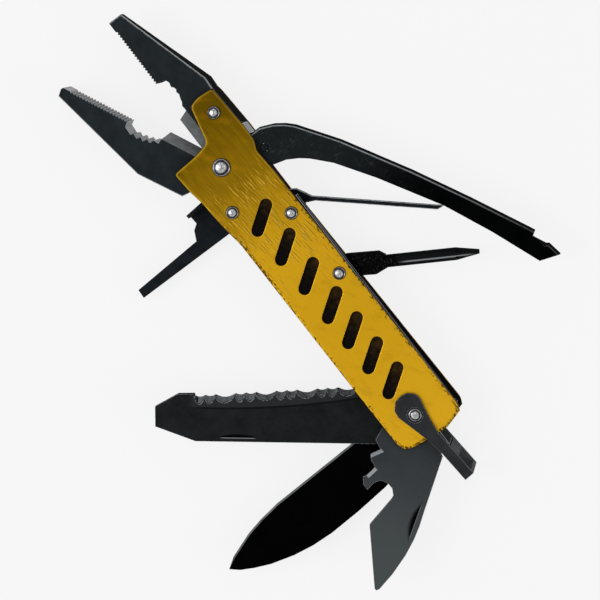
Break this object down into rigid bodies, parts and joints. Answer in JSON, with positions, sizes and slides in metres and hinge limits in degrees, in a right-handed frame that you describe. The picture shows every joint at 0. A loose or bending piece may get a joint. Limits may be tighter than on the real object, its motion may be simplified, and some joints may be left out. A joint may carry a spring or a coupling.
{
  "type": "multi tool",
  "caption": "Folding multi tool with spring-opened pliers, knife, serrated blade, can opener, flat driver, cross driver and awl, all swung out of a slotted gold handle.",
  "frame": {"origin": "on the jaw pivot's axis, at the rear crown of its rivet, on the plane that the tool rests on", "axes": "+X along the handle from the tail to the pliers, +Y the side where the blades swing out, +Z towards the front cover"},
  "size_m": [0.1606, 0.1218, 0.015],
  "materials": {
    "gold_sheet": "brushed, gold coated",
    "black_steel": "satin black oxide",
    "grey_steel": "satin dark grey",
    "bare_steel": "ground",
    "rivet_steel": "polished"
  },
  "bodies": {
    "root": {"front_cover": "gold_sheet", "rear_cover": "gold_sheet", "front_liner": "black_steel", "rear_liner": "black_steel", "upper_jaw": "black_steel", "head_spacer": "bare_steel", "tail_spacer": "grey_steel", "jaw_pivot_rivet": "rivet_steel", "upper_jaw_rivet": "rivet_steel", "flat_driver_rivet": "rivet_steel", "awl_rivet": "rivet_steel", "cross_driver_rivet": "rivet_steel", "tail_rivet": "rivet_steel", "knife_washer": "bare_steel", "serrated_washer": "bare_steel", "opener_washer": "bare_steel", "awl_washer": "bare_steel", "cross_driver_rear_washer": "bare_steel", "cross_driver_front_washer": "bare_steel", "flat_driver_washer": "bare_steel", "rear_back_spring": "grey_steel", "front_back_spring": "black_steel"},
    "jaw_lever": {"lower_jaw": "black_steel", "lever_channel": "black_steel", "lever_tang_pin": "grey_steel", "opening_spring": "bare_steel"},
    "serrated_blade": {"serrated_blade": "black_steel"},
    "knife_blade": {"knife_blade": "black_steel"},
    "can_opener": {"can_opener": "grey_steel"},
    "flat_driver": {"flat_driver": "black_steel"},
    "cross_driver": {"cross_driver": "black_steel"},
    "awl": {"awl": "black_steel"},
    "bail": {"bail": "black_steel"}
  },
  "joints": [
    {"name": "pliers_close", "type": "hinge", "parent": "root", "child": "jaw_lever", "pos_m": [0, 0, 0.0101], "axis": [0, 0, -1], "range_deg": [0, 25.3], "stiffness_Nm_per_rad": 0.4, "springref_deg": -17.19},
    {"name": "serrated_fold", "type": "hinge", "parent": "root", "child": "serrated_blade", "pos_m": [-0.0816, -0.0009, 0.0087], "axis": [0, 0, -1], "range_deg": [-85, 53.3]},
    {"name": "knife_fold", "type": "hinge", "parent": "root", "child": "knife_blade", "pos_m": [-0.0816, -0.0009, 0.0062], "axis": [0, 0, -1], "range_deg": [-40, 92]},
    {"name": "opener_fold", "type": "hinge", "parent": "root", "child": "can_opener", "pos_m": [-0.0816, -0.0009, 0.0112], "axis": [0, 0, -1], "range_deg": [-8, 125.5]},
    {"name": "flat_driver_fold", "type": "hinge", "parent": "root", "child": "flat_driver", "pos_m": [-0.01102, 0.0049, 0.0038], "axis": [0, 0, 1], "range_deg": [0, 86]},
    {"name": "cross_driver_fold", "type": "hinge", "parent": "root", "child": "cross_driver", "pos_m": [-0.04031, -0.0077, 0.0055], "axis": [0, 0, -1], "range_deg": [-40, 59]},
    {"name": "awl_fold", "type": "hinge", "parent": "root", "child": "awl", "pos_m": [-0.0204, -0.0073, 0.0035], "axis": [0, 0, -1], "range_deg": [-41, 49]},
    {"name": "bail_latch", "type": "hinge", "parent": "root", "child": "bail", "pos_m": [-0.0816, -0.0009, 0.0075], "axis": [0, 0, 1], "range_deg": [0, 87]}
  ]
}
